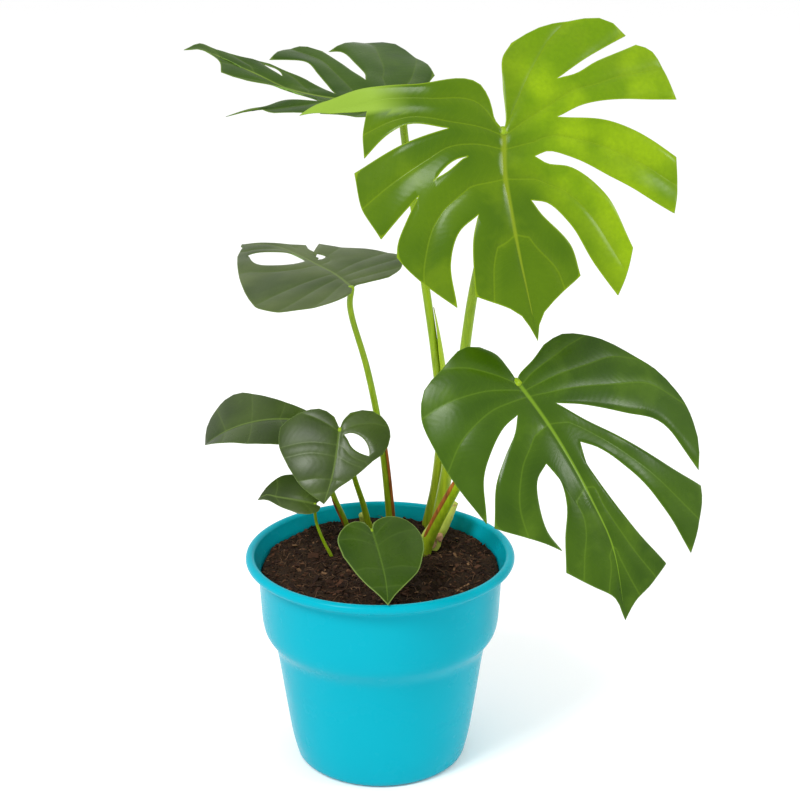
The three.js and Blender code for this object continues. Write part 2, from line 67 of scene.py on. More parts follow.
def smooth_line(points, count):
    """Places along a smooth curve through given points: a number of even steps, or a list
    of shares of its length."""
    knots = [Vector((*p, 0)) if len(p) == 2 else Vector(p) for p in points]
    before = knots[0] * 2 - knots[1]
    after = knots[-1] * 2 - knots[-2]
    run = [before, *knots, after]
    dense = [knots[0]]
    for p0, p1, p2, p3 in zip(run, run[1:], run[2:], run[3:]):
        t1 = max(sqrt((p1 - p0).length), 1e-6)
        t2 = t1 + max(sqrt((p2 - p1).length), 1e-6)
        t3 = t2 + max(sqrt((p3 - p2).length), 1e-6)
        for step in range(1, CURVE_STEPS + 1):
            t = t1 + (t2 - t1) * step / CURVE_STEPS
            a1 = p0 * ((t1 - t) / t1) + p1 * (t / t1)
            a2 = p1 * ((t2 - t) / (t2 - t1)) + p2 * ((t - t1) / (t2 - t1))
            a3 = p2 * ((t3 - t) / (t3 - t2)) + p3 * ((t - t2) / (t3 - t2))
            b1 = a1 * ((t2 - t) / t2) + a2 * (t / t2)
            b2 = a2 * ((t3 - t) / (t3 - t1)) + a3 * ((t - t1) / (t3 - t1))
            dense.append(b1 * ((t2 - t) / (t2 - t1)) + b2 * ((t - t1) / (t2 - t1)))
    reach = [0]
    for p, q in zip(dense, dense[1:]):
        reach.append(reach[-1] + (q - p).length)
    places = count if isinstance(count, list) else [step / count for step in range(count + 1)]
    line = []
    at = 0
    for place in places:
        wanted = place * reach[-1]
        while at < len(dense) - 2 and reach[at + 1] < wanted:
            at += 1
        part = (wanted - reach[at]) / max(reach[at + 1] - reach[at], 1e-9)
        line.append(dense[at].lerp(dense[at + 1], min(max(part, 0), 1)))
    return line


def stitch(rings):
    """The faces that join each ring of points to the next."""
    faces = []
    for low, high in zip(rings, rings[1:]):
        for side in range(len(low)):
            after = (side + 1) % len(low)
            faces.append(list(dict.fromkeys([low[side], low[after], high[after], high[side]])))
    return faces


def turned(profile, sides):
    """A profile of radius and height spun about the upright axis, closed at both ends."""
    points = []
    rings = []
    for radius, height in profile:
        if radius < 1e-6:
            points.append((0, 0, height))
            rings.append([len(points) - 1] * sides)
            continue
        start = len(points)
        for side in range(sides):
            angle = 2 * pi * side / sides
            points.append((radius * cos(angle), radius * sin(angle), height))
        rings.append(list(range(start, start + sides)))
    return points, stitch(rings)


def add_object(name, data):
    thing = bpy.data.objects.new(name, data)
    bpy.context.collection.objects.link(thing)
    return thing


def add_piece(name, points, faces, finish, slot, smooth=True):
    """Adds a mesh given in millimetres, and lets it ride with the plant."""
    mesh = bpy.data.meshes.new(name)
    mesh.from_pydata([(x * MM, y * MM, z * MM) for x, y, z in points], [], faces)
    if smooth:
        mesh.shade_smooth()
    mesh.materials.append(finish.material)
    piece = add_object(name, mesh)
    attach(piece, "root")
    return piece


def store(piece, key, values):
    """Keeps one number for each of a piece's points, for its material to read."""
    piece.data.attributes.new(key, "FLOAT", "POINT").data.foreach_set("value", values)


class Finish:
    """A material with its shader, and short ways to add and join nodes."""

    def __init__(self, name, roughness, shine=0.5):
        self.material = bpy.data.materials.new(name)
        self.material.use_nodes = True
        self.tree = self.material.node_tree
        self.shader = self.tree.nodes["Principled BSDF"]
        self.set("Roughness", roughness)
        self.set("Specular IOR Level", shine)

    def node(self, kind, settings=None, **inputs):
        node = self.tree.nodes.new("ShaderNode" + kind)
        for key, value in (settings or {}).items():
            setattr(node, key, value)
        for key, value in inputs.items():
            self.feed(node.inputs[key.replace("_", " ")], value)
        return node

    def feed(self, socket, value):
        if isinstance(value, bpy.types.NodeSocket):
            self.tree.links.new(value, socket)
        else:
            socket.default_value = (*value, 1) if socket.type == "RGBA" else value

    def set(self, name, value):
        self.feed(self.shader.inputs[name], value)

    def noise(self, scale, detail=3, stretch=(1, 1, 1)):
        """Soft noise over the piece itself, scale in lumps to the metre."""
        place = self.node("TexCoord").outputs["Object"]
        spread = self.node("Mapping", Vector=place, Scale=stretch).outputs["Vector"]
        cloud = self.node("TexNoise", Vector=spread, Scale=scale, Detail=detail)
        return cloud.outputs["Fac"]

    def ramp(self, value, low, high, to_low=0, to_high=1):
        span = self.node("MapRange", Value=value)
        for end, number in zip(("From Min", "From Max", "To Min", "To Max"), (low, high, to_low, to_high)):
            span.inputs[end].default_value = number
        return span.outputs["Result"]

    def sum(self, operation, first, second):
        node = self.node("Math", {"operation": operation})
        self.feed(node.inputs[0], first)
        self.feed(node.inputs[1], second)
        return node.outputs[0]

    def blend(self, amount, first, second):
        node = self.node("Mix", {"data_type": "RGBA"})
        self.feed(node.inputs[0], amount)
        self.feed(node.inputs[6], first)
        self.feed(node.inputs[7], second)
        return node.outputs[2]

    def reading(self, name):
        """A number kept on the mesh."""
        return self.node("Attribute", {"attribute_name": name}).outputs["Fac"]

    def bump(self, height, distance, strength=1.0):
        node = self.node("Bump", Height=height, Distance=distance, Strength=strength)
        self.set("Normal", node.outputs["Normal"])


turquoise = Finish("turquoise_polypropylene", 0.28, 0.06)
scuff = turquoise.noise(9, 4)
turquoise_colour = turquoise.blend(scuff, (0.0, 0.32, 0.415), (0.0, 0.35, 0.45))
turquoise.set("Base Color", turquoise_colour)
turquoise.set("Roughness", turquoise.ramp(turquoise.noise(60, 5), 0.3, 0.7, 0.2, 0.3))
turquoise.bump(turquoise.noise(160, 2), 0.00005, 0.5)

outside = [*foot]
outside += [(p.x, p.y) for p in smooth_line(body_wall + shoulder + collar, 64)]
bead_centre = (RIM_RADIUS - BEAD_RADIUS, RIM_HEIGHT - BEAD_RADIUS)
bead = []
for step in range(BEAD_STEPS + 1):
    angle = radians(BEAD_START + BEAD_SWEEP * step / BEAD_STEPS)
    bead.append((bead_centre[0] + BEAD_RADIUS * cos(angle),
                 bead_centre[1] + BEAD_RADIUS * sin(angle)))
inside = [(radius - WALL, height) for radius, height in reversed(body_wall[1:] + shoulder + collar)]
inside = [(p.x, p.y) for p in smooth_line(inside, 48)]
pot_floor = [(54.6, FLOOR + 4), (53, FLOOR + 1), (50, FLOOR), (25, FLOOR), (0, FLOOR)]
shell = turned(outside + bead + inside + pot_floor, POT_SIDES)
pot = add_piece("nursery_pot", *shell, turquoise, "pot_plastic")

drill = bmesh.new()
for hole in range(DRAIN_HOLES):
    angle = 2 * pi * hole / DRAIN_HOLES
    centre = Vector((DRAIN_CIRCLE * cos(angle), DRAIN_CIRCLE * sin(angle), 0)) * MM
    bmesh.ops.create_cone(drill, cap_ends=True, segments=DRAIN_HOLE_SIDES, radius1=DRAIN_HOLE_RADIUS * MM,
                          radius2=DRAIN_HOLE_RADIUS * MM, depth=4 * FLOOR * MM,
                          matrix=Matrix.Translation(centre))
drill_mesh = bpy.data.meshes.new("drill")
drill.to_mesh(drill_mesh)
drill_object = bpy.data.objects.new("drill", drill_mesh)
cut = pot.modifiers.new("drain_holes", "BOOLEAN")
cut.object = drill_object
bpy.context.view_layer.update()
pot.data = bpy.data.meshes.new_from_object(pot.evaluated_get(bpy.context.evaluated_depsgraph_get()))
pot.modifiers.clear()
bpy.data.objects.remove(drill_object)
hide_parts("pot")

# ---- Potting mix ----
# A root ball of dark coir and composted bark, watered down until its top is lumpy and a
# little higher at the back. Reddish and tan bark chips and coir fibres lie loose in it.
SOIL_LEVEL = 127.5
SOIL_RISE = 1.2
SOIL_TILT = 2.4
SOIL_RADIUS = 75.2
LUMPS = ((17, 3, 1.8), (6, 9, 1.8), (2.4, 1, 1.3))
MIX_SIDES = 200
MIX_RINGS = 74
CHIPS = 2200
CHIP_SPREAD = 73.5
CHIP_LENGTH = 1.5
LONGEST_CHIP = 8
FIBRES = 220
FIBRE_SPREAD = 71
FIBRE_SIDES = 3
FIBRE_STEPS = 5
FIBRE_STEP = 1.5
chance = random.Random(5)


def mix_height(x, y):
    height = SOIL_LEVEL + SOIL_RISE + SOIL_TILT * y / SOIL_RADIUS
    for size, seed, rise in LUMPS:
        height += noise.noise(Vector((x / size, y / size, seed))) * rise
    return height


def scatter(spread):
    """A chance place on the mix, as likely in one part of it as in another."""
    radius = spread * sqrt(chance.random())
    angle = chance.uniform(0, 2 * pi)
    return radius * cos(angle), radius * sin(angle)


mix_side = [(0, FLOOR + 0.4), (49, FLOOR + 0.4), (52.6, FLOOR + 3.4), (55.2, 15), (57.6, 30)]
mix_side += [(60.2, 48), (62.6, 65), (64.2, 76), (66.6, 81.5), (70, 86.5), (72.2, 91)]
mix_side += [(73, 96), (74.6, 112), (75, 122), (75.2, 126)]
mix_top = [(SOIL_RADIUS * (1 - step / MIX_RINGS), 0) for step in range(1, MIX_RINGS + 1)]
mix_points, mix_faces = turned(mix_side + mix_top, MIX_SIDES)
first_top = 1 + (len(mix_side) - 1) * MIX_SIDES
for index in range(first_top, len(mix_points)):
    x, y, height = mix_points[index]
    mix_points[index] = (x, y, mix_height(x, y))

coir = Finish("coir_and_bark", 0.95, 0.15)
coir_grain = coir.noise(900, 6)
coir_patch = coir.noise(160, 4)
coir_crumb = coir.ramp(coir_grain, 0.35, 0.7)
coir_colour = coir.blend(coir_crumb, (0.006, 0.0035, 0.002), (0.05, 0.026, 0.012))
coir_shade = coir.ramp(coir_patch, 0.45, 0.75, 0, 0.6)
coir.set("Base Color", coir.blend(coir_shade, coir_colour, (0.018, 0.009, 0.005)))
coir.bump(coir_grain, 0.0009, 0.9)
mix = add_piece("bark_and_coir_mix", mix_points, mix_faces, coir, "bark_mix")
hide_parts("potting_mix")

chip_points = []
chip_faces = []
chip_tones = []
for chip in range(CHIPS):
    x, y = scatter(CHIP_SPREAD)
    length = min(CHIP_LENGTH * exp(chance.gauss(0.35, 0.5)), LONGEST_CHIP)
    width = length * chance.uniform(0.35, 0.6)
    thick = chance.uniform(0.4, 1.0)
    lie = Matrix.Rotation(chance.uniform(0, 2 * pi), 3, "Z")
    for axis in "YX":
        lie = lie @ Matrix.Rotation(chance.gauss(0, 0.35), 3, axis)
    seat = Vector((x, y, mix_height(x, y) + thick * chance.uniform(0.1, 0.6)))
    tone = chance.random()
    start = len(chip_points)
    for up in (-1, 1):
        for across, along in ((-1, -1), (1, -1), (1, 1), (-1, 1)):
            corner = Vector((along * length / 2 * chance.uniform(0.6, 1),
                             across * width / 2 * chance.uniform(0.6, 1),
                             up * thick / 2 * chance.uniform(0.6, 1)))
            chip_points.append(tuple(seat + lie @ corner))
            chip_tones.append(tone)
    for corners in ((3, 2, 1, 0), (4, 5, 6, 7), (0, 1, 5, 4), (1, 2, 6, 5), (2, 3, 7, 6), (3, 0, 4, 7)):
        chip_faces.append([start + corner for corner in corners])
bark = Finish("bark_chips", 0.85, 0.15)
bark_tone = bark.reading("tone")
bark_colour = bark.blend(bark.ramp(bark_tone, 0.35, 0.9), (0.02, 0.009, 0.005), (0.085, 0.036, 0.018))
bark_colour = bark.blend(bark.ramp(bark_tone, 0.93, 1.0, 0, 0.8), bark_colour, (0.30, 0.17, 0.085))
bark_grain = bark.noise(1400, 4, (0.3, 1, 1))
bark_dirt = bark.ramp(bark_grain, 0.4, 0.7, 0, 0.5)
bark.set("Base Color", bark.blend(bark_dirt, bark_colour, (0.01, 0.005, 0.003)))
bark.bump(bark_grain, 0.0003)
chips = add_piece("bark_chips", chip_points, chip_faces, bark, "bark_mix", smooth=False)
store(chips, "tone", chip_tones)

fibre_points = []
fibre_faces = []
for fibre in range(FIBRES):
    x, y = scatter(FIBRE_SPREAD)
    turn = chance.uniform(0, 2 * pi)
    thick = chance.uniform(0.1, 0.2)
    start = len(fibre_points)
    rings = []
    for step in range(FIBRE_STEPS + 1):
        rings.append([start + FIBRE_SIDES * step + side for side in range(FIBRE_SIDES)])
        lift = mix_height(x, y) + 0.5 + 1.1 * sin(pi * step / FIBRE_STEPS)
        for side in range(FIBRE_SIDES):
            spin = 2 * pi * side / FIBRE_SIDES
            fibre_points.append((x - thick * cos(spin) * sin(turn),
                                 y + thick * cos(spin) * cos(turn),
                                 lift + thick * sin(spin)))
        turn += chance.gauss(0, 0.45)
        x += FIBRE_STEP * cos(turn)
        y += FIBRE_STEP * sin(turn)
    fibre_faces += [rings[0][::-1], rings[-1]] + stitch(rings)
coir_fibre = Finish("coir_fibre", 0.8)
fibre_colour = coir_fibre.blend(coir_fibre.noise(120), (0.05, 0.02, 0.008), (0.2, 0.1, 0.04))
coir_fibre.set("Base Color", fibre_colour)
add_piece("coir_fibres", fibre_points, fibre_faces, coir_fibre, "bark_mix")

# ---- Crowns ----
# The short, thick, pale stems that the leaves grow from: smooth yellow-green skin, rings and
# brown scars where old leaves fell, and blunt root nubs just above the mix.
def upright_frames(line):
    """For each place on a line: its direction and two cross directions that don't twist."""
    frames = []
    across = None
    for index, place in enumerate(line):
        ahead = line[min(index + 1, len(line) - 1)] - line[max(index - 1, 0)]
        ahead.normalize()
        if across is None:
            across = Vector((0, -1, 0)).cross(ahead).cross(ahead) * -1
        across = (across - ahead * across.dot(ahead)).normalized()
        frames.append((ahead, across, ahead.cross(across)))
    return frames


def tube(route, radii, sides, steps, shape=None):
    """A round stem through given places. Its first cross direction faces the front."""
    line = smooth_line(route, steps)
    points = []
    alongs = []
    for index, (place, (ahead, front, side_way)) in enumerate(zip(line, upright_frames(line))):
        along = index / steps
        at = along * (len(radii) - 1)
        low = min(int(at), len(radii) - 2)
        radius = radii[low] + (radii[low + 1] - radii[low]) * (at - low)
        for side in range(sides):
            angle = 2 * pi * side / sides
            swell = shape(along, angle) if shape else 1
            points.append(place + (front * cos(angle) + side_way * sin(angle)) * radius * swell)
            alongs.append(along)
    rings = [list(range(step * sides, (step + 1) * sides)) for step in range(steps + 1)]
    faces = stitch(rings)
    for end, ring in ((0, rings[0][::-1]), (1, rings[-1])):
        points.append(sum((points[p] for p in ring), Vector()) / sides)
        alongs.append(end)
        for p, q in zip(ring, ring[1:] + ring[:1]):
            faces.append([p, q, len(points) - 1])
    return points, faces, alongs


def add_stem(name, stem_parts, finish, slot):
    points, faces, alongs = stem_parts
    stem = add_piece(name, points, faces, finish, slot)
    store(stem, "along", alongs)
    return stem


def swelling(along, middle, width):
    return exp(-((along - middle) / width) ** 2)


def crown_shape(along, angle):
    rings = 0.05 * swelling(along, 0.62, 0.03) + 0.05 * swelling(along, 0.8, 0.03)
    lump = 0.05 * noise.noise(Vector((along * 6, cos(angle), sin(angle))))
    return 0.97 + rings + lump


pale_stem = Finish("pale_crown_skin", 0.5, 0.2)
pale_colour = pale_stem.blend(pale_stem.noise(110, 4), (0.33, 0.40, 0.03), (0.48, 0.52, 0.10))
old_scars = pale_stem.ramp(pale_stem.noise(240, 5), 0.6, 0.72)
pale_stem.set("Base Color", pale_stem.blend(old_scars, pale_colour, (0.3, 0.13, 0.08)))
pale_stem.bump(pale_stem.noise(500, 4), 0.0003)

main_route = [(31, 26, 112), (33, 28, 134), (40, 30, 146), (48, 36, 158)]
main_stem = tube(main_route, (8, 7.6, 6.2, 3.4), 40, 60, crown_shape)
main_crown = add_stem("main_crown", main_stem, pale_stem, "pale_stem")
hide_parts("crown_main")

rear_route = [(-9, 62, 112), (-9, 61, 130), (-12, 58, 140)]
rear_stem = tube(rear_route, (6, 5, 2.5), 32, 36, crown_shape)
rear_crown = add_stem("rear_crown", rear_stem, pale_stem, "pale_stem")
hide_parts("crown_rear")

dry_scar = Finish("dry_brown_scar", 0.8)
scar_colour = dry_scar.blend(dry_scar.noise(400, 4), (0.26, 0.10, 0.05), (0.58, 0.33, 0.19))
dry_scar.set("Base Color", scar_colour)
dry_scar.bump(dry_scar.noise(900, 4), 0.0003)
nubs = [((34, 21, 136), (33, 15.5, 133.5), 2.8), ((38, 22, 140), (38.5, 17, 137.5), 2.4),
        ((26, 23, 133), (21.5, 20, 131.5), 1.8)]
for number, (base, end, radius) in enumerate(nubs, 1):
    middle = tuple((Vector(base) + Vector(end)) / 2)
    nub = tube([base, middle, end], (radius, radius * 0.95, radius * 0.3), 16, 10)
    add_stem(f"root_nub_{number}", nub, dry_scar, "pale_stem")

# ---- Leaf blades and petioles ----
# Each leaf is one thin, tough, waxy sheet, creased along its midrib and the vein of every lobe,
# split in from its margin between the lobes, and carried on a juicy round petiole. Its outline
# is laid out flat, in millimetres from the junction: outwards, then towards the tip.
BLADE = 0.7
LIP = 0.16
EDGE_WIDTH = 1.2
GROOVE_WIDTH = 2.4
CREASE_WIDTH = 1.2
KEEL_WIDTH = 1.9
VEIN_WIDTH = 0.8
WAVE_LENGTH = 24
PETIOLE_SIDES = 24
PETIOLE_STEPS = 80
COLUMNS = [0, 0.006, 0.015, 0.028, 0.045]
COLUMNS += [step / 30 for step in range(2, 29)]
COLUMNS += [0.955, 0.975, 0.99, 1]
ROWS = [0.27, 0.5, 0.73]
AFTER_VEIN = [0.05, 0.13]
BEFORE_VEIN = [0.87, 0.95]
EASE_ROUNDS = 120
LEAST_AREA = 0.001


def row_places(veins):
    """Rows across a lobe, closer together beside its veins."""
    stops = [0, *veins, 1]
    rows = [0]
    for low, high in zip(stops, stops[1:]):
        parts = AFTER_VEIN + ROWS if low in veins else ROWS
        if high in veins:
            parts = parts + BEFORE_VEIN
        rows += [low + (high - low) * part for part in parts] + [high]
    return rows


def run_length(points):
    line = smooth_line(points, 20)
    return sum((q - p).length for p, q in zip(line, line[1:]))


def open_sides(faces):
    """The sides that only one face has, as they run round it."""
    sides = set()
    for corners in faces:
        for p, q in zip(corners, corners[1:] + corners[:1]):
            if (q, p) in sides:
                sides.remove((q, p))
            else:
                sides.add((p, q))
    return sorted(sides)


def ease_folds(points, faces, midrib):
    """Beside a sharp cleft the mesh can lap over itself. Its inner points there are moved to
    the middle of their neighbours, and the flattest result is kept. The margin and midrib stay."""
    held = {corner for side in open_sides(faces) for corner in side} | set(midrib)
    around = {}
    for corners in faces:
        for p, q in zip(corners, corners[1:] + corners[:1]):
            around.setdefault(p, set()).add(q)
            around.setdefault(q, set()).add(p)
    fewest = len(faces)
    for attempt in range(EASE_ROUNDS):
        lapped = []
        for corners in faces:
            flats = [points[corner] for corner in corners]
            if sum(p.x * q.y - q.x * p.y for p, q in zip(flats, flats[1:] + flats[:1])) <= LEAST_AREA:
                lapped.append(corners)
        if len(lapped) < fewest:
            fewest = len(lapped)
            flattest = list(points)
        if not lapped:
            break
        loose = {corner for corners in lapped for corner in corners}
        loose = loose.union(*(around[corner] for corner in loose)) - held
        for corner in sorted(loose):
            near = sorted(around[corner])
            points[corner] = sum((points[other] for other in near), Vector()) / len(near)
    points[:] = flattest


def flat_sheet(leaf):
    """The blade laid flat: its points, faces, midrib and veins. Between two lobes a line runs
    out from the midrib, and where the cleft opens it parts into two edges."""
    points = []
    faces = []
    veins = []

    def put(point):
        points.append(point.copy())
        return len(points) - 1

    roots = [0, *leaf["roots"], 1]
    rows = [row_places(lobe) for lobe in leaf["veins"]]
    spine = []
    for low, high, places in zip(roots, roots[1:], rows):
        start = 1 if spine else 0
        spread = smooth_line(leaf["midrib"], [low + (high - low) * place for place in places])
        shared = [spine[-1][-1]] if spine else []
        spine.append(shared + [put(point) for point in spread[start:]])
    tip = spine[-1][-1]

    for direction, half in ((-1, "left"), (1, "right")):
        def flat(outline):
            return [Vector((direction * x, y, 0)) for x, y in outline]

        sinus, margins, clefts = (leaf[f"{half}_{part}"] for part in ("sinus", "margins", "clefts"))
        hub = points[spine[0][0]]
        fores = [[spine[0][0]] + [put(p) for p in smooth_line([hub, *flat(sinus)], COLUMNS)[1:]]]
        backs = []
        for cleft, lobe in zip(clefts, spine[1:]):
            root = lobe[0]
            stem = [points[root], *flat(cleft["stem"])]
            split = len(COLUMNS) - 1
            if "back" in cleft:
                inner = run_length(stem)
                outer = run_length([stem[-1], *flat(cleft["back"])])
                share = inner / (inner + outer)
                split = min(range(2, len(COLUMNS) - 4), key=lambda column: abs(COLUMNS[column] - share))
            along_stem = [column / COLUMNS[split] for column in COLUMNS[:split + 1]]
            line = smooth_line(stem, along_stem)
            back = [root]
            fore = [root]
            low, high, width = cleft.get("hole", (0, 0, 0))
            for step in range(1, split + 1):
                through = (along_stem[step] - low) / (high - low) if width else 0
                if 0.01 < through < 0.99:
                    ahead = line[step] - line[step - 1]
                    across = Vector((-ahead.y, ahead.x, 0)).normalized()
                    across *= direction * width / 2 * sin(pi * through) ** 0.8
                    back.append(put(line[step] - across))
                    fore.append(put(line[step] + across))
                else:
                    back.append(put(line[step]))
                    fore.append(back[-1])
            if "back" in cleft:
                open_part = [(column - COLUMNS[split]) / (1 - COLUMNS[split]) for column in COLUMNS[split:]]
                back += [put(p) for p in smooth_line([line[-1], *flat(cleft["back"])], open_part)[1:]]
                fore += [put(p) for p in smooth_line([line[-1], *flat(cleft["fore"])], open_part)[1:]]
            backs.append(back)
            fores.append(fore)
        backs.append([tip] * len(COLUMNS))

        for first, last, bones, places, edge, inner_veins in zip(
                fores, backs, spine, rows, margins, leaf["veins"]):
            rim = smooth_line([points[first[-1]], *flat(edge), points[last[-1]]], places)
            fade = 2 if last[0] == tip else 1
            grid = [first]
            for place, bone, outer in zip(places[1:-1], bones[1:-1], rim[1:-1]):
                line = [bone]
                for column, u in enumerate(COLUMNS[1:], 1):
                    bows = [points[side[column]] - points[side[0]].lerp(points[side[-1]], u)
                            for side in (first, last)]
                    bowed = bows[0] * (1 - place) ** fade + bows[1] * place
                    line.append(put(points[bone].lerp(outer, u) + bowed))
                grid.append(line)
                if place in inner_veins:
                    veins.append(line)
            grid.append(last)
            for near, far in zip(grid, grid[1:]):
                for column in range(len(COLUMNS) - 1):
                    corner_ids = [near[column], near[column + 1], far[column + 1], far[column]]
                    corner_ids = list(dict.fromkeys(corner_ids))
                    if len(corner_ids) > 2:
                        faces.append(corner_ids if direction > 0 else corner_ids[::-1])
    midrib = [spine[0][0]] + [bone for bones in spine for bone in bones[1:]]
    ease_folds(points, faces, midrib)
    return points, faces, midrib, veins


def nearest(points, lines):
    """A finder of how far any place is from the nearest of some lines, and how far along it."""
    places = []
    for line in lines:
        reach = 0
        for p, q in zip(line, line[1:]):
            step = (points[q] - points[p]).length
            for part in (0, 0.25, 0.5, 0.75):
                places.append((points[p].lerp(points[q], part), reach + step * part))
            reach += step
    tree = kdtree.KDTree(len(places))
    for index, (place, reach) in enumerate(places):
        tree.insert(place, index)
    tree.balance()

    def find(place):
        index, gap = tree.find(place)[1:]
        return gap, places[index][1]

    return find


def roll_over(point, rolled):
    """Rolls what lies past a line round a bar, down or, at a negative angle, up."""
    beyond = Vector((*rolled["towards"], 0)).normalized()
    distance = (point - Vector((*rolled["start"], 0))).dot(beyond)
    if distance <= 0:
        return point
    most = radians(abs(rolled["angle"]))
    radius = rolled["radius"]
    bent = min(distance / radius, most)
    straight = max(0, distance - radius * most)
    out = radius * sin(bent) + straight * cos(most)
    down = radius * (1 - cos(bent)) + straight * sin(most)
    lift = copysign(down, -rolled["angle"])
    return point + beyond * (out - distance) + Vector((0, 0, lift))


def arc(distance, start, curl):
    """How far out and up an arc goes that sets off at an angle and curls down as it goes."""
    curl = curl or 1e-6
    end = start - curl * distance
    return (sin(start) - sin(end)) / curl, (cos(end) - cos(start)) / curl


def leaf_axes(leaf):
    """The leaf's own axes: across the blade, along the midrib, and up out of its face."""
    turn, rise, lean = (radians(leaf[key]) for key in ("heading", "slope", "roll"))
    along = Vector((sin(turn) * cos(rise), cos(turn) * cos(rise), sin(rise)))
    level = Vector((cos(turn), -sin(turn), 0))
    across = level * cos(lean) - level.cross(along) * sin(lean)
    return across, along, across.cross(along)


def bend(point, leaf, axes):
    """Carries a flat point to its place on the bent blade."""
    side = 0 if point.x < 0 else 1
    out, lift = arc(abs(point.x), radians(leaf["fold"][side]), leaf["arch"][side])
    forward, drop = arc(point.y, 0, leaf["bow"])
    tilt = leaf["bow"] * point.y
    height = lift + point.z
    across, along, up = axes
    place = Vector(leaf["junction"]) + across * (out if side else -out)
    place += along * (forward + height * sin(tilt))
    return place + up * (drop + height * cos(tilt))


def add_blade(name, leaf, finish, slot):
    points, faces, midrib, veins = flat_sheet(leaf)
    sides = open_sides(faces)
    to_midrib = nearest(points, [midrib])
    to_vein = nearest(points, veins)
    to_margin = nearest(points, sides)
    length = (points[midrib[-1]] - points[midrib[0]]).length
    readings = {key: [] for key in ("midrib", "vein", "stride", "margin", "along", "side")}
    pale = []
    raised = []
    for point in points:
        rib, reach = to_midrib(point)
        vein, stride = to_vein(point)
        margin = to_margin(point)[0]
        along = min(max(point.y / length, 0), 1)
        # This reading is the mask for the painted light on the right lobes of a young leaf.
        side = -point.x - 0.5 * max(point.y - 20, 0)
        curled = leaf.get("curled_lobe")
        pale.append(0.0)
        if curled and point.y < curled["slant"] * point.x:
            pale[-1] = min(max((point.x - curled["inner"]) / (curled["outer"] - curled["inner"]), 0), 1)
        for key, value in zip(readings, (rib, vein, stride, margin, along, side)):
            readings[key].append(value)
        rib_fade = 1 - 0.7 * along
        vein_fade = min(rib / 5, 1) * min(margin / 4, 1)
        height = -leaf["groove"] * rib_fade * exp(-(rib / GROOVE_WIDTH) ** 2)
        height -= leaf["crease"] * 0.35 * vein_fade * exp(-(vein / CREASE_WIDTH) ** 2)
        height += leaf["crease"] * min(rib / 14, 1) * (1 - exp(-(vein / 7) ** 1.5))
        free = min(rib / 30, 1) * exp(-margin / 9)
        height += leaf["wave"] * free * noise.noise(point / WAVE_LENGTH + Vector((leaf["number"], 0, 0)))
        raised.append(Vector((point.x, point.y, height)))
    rolled = leaf.get("rolled")
    if rolled:
        raised = [roll_over(p, rolled) if p.x * rolled["side"] > 0 else p for p in raised]
    axes = leaf_axes(leaf)
    middle = [bend(point, leaf, axes) for point in raised]
    normals = [Vector() for point in middle]
    for corners in faces:
        a, b, c = (middle[corner] for corner in corners[:3])
        face = (b - a).cross(c - a)
        if len(corners) > 3:
            face += (c - a).cross(middle[corners[3]] - a)
        for corner in corners:
            normals[corner] += face
    top = []
    below = []
    for index, (place, normal) in enumerate(zip(middle, normals)):
        normal.normalize()
        rib, vein, margin = (readings[key][index] for key in ("midrib", "vein", "margin"))
        half = BLADE / 2 * (0.5 + 0.5 * (1 - exp(-margin / EDGE_WIDTH)))
        keel = leaf["keel"] * (1 - 0.8 * readings["along"][index]) * exp(-(rib / KEEL_WIDTH) ** 2)
        keel += leaf["keel"] * 0.22 * min(margin / 5, 1) * exp(-(vein / VEIN_WIDTH) ** 2)
        top.append(place + normal * half)
        below.append(place - normal * (half + keel))
    count = len(points)
    body = list(faces)
    body += [[corner + count for corner in reversed(corners)] for corners in faces]
    rim = {}
    edge_points = []
    for p, q in sides:
        for corner in (p, q):
            if corner not in rim:
                rim[corner] = 2 * count + len(edge_points)
                out = Vector()
                edge_points.append([corner, out])
        outward = (middle[q] - middle[p]).cross(normals[p] + normals[q])
        for corner in (p, q):
            edge_points[rim[corner] - 2 * count][1] += outward
    for p, q in sides:
        body.append([q, p, rim[p], rim[q]])
        body.append([rim[q], rim[p], p + count, q + count])
    lip = [middle[corner] + outward.normalized() * LIP for corner, outward in edge_points]
    blade = add_piece(name, top + below + lip, body, finish, slot)
    for key, values in readings.items():
        store(blade, key, values + values + [values[corner] for corner, outward in edge_points])
    store(blade, "under", pale + [1.0] * count + [0.5] * len(edge_points))
    return blade


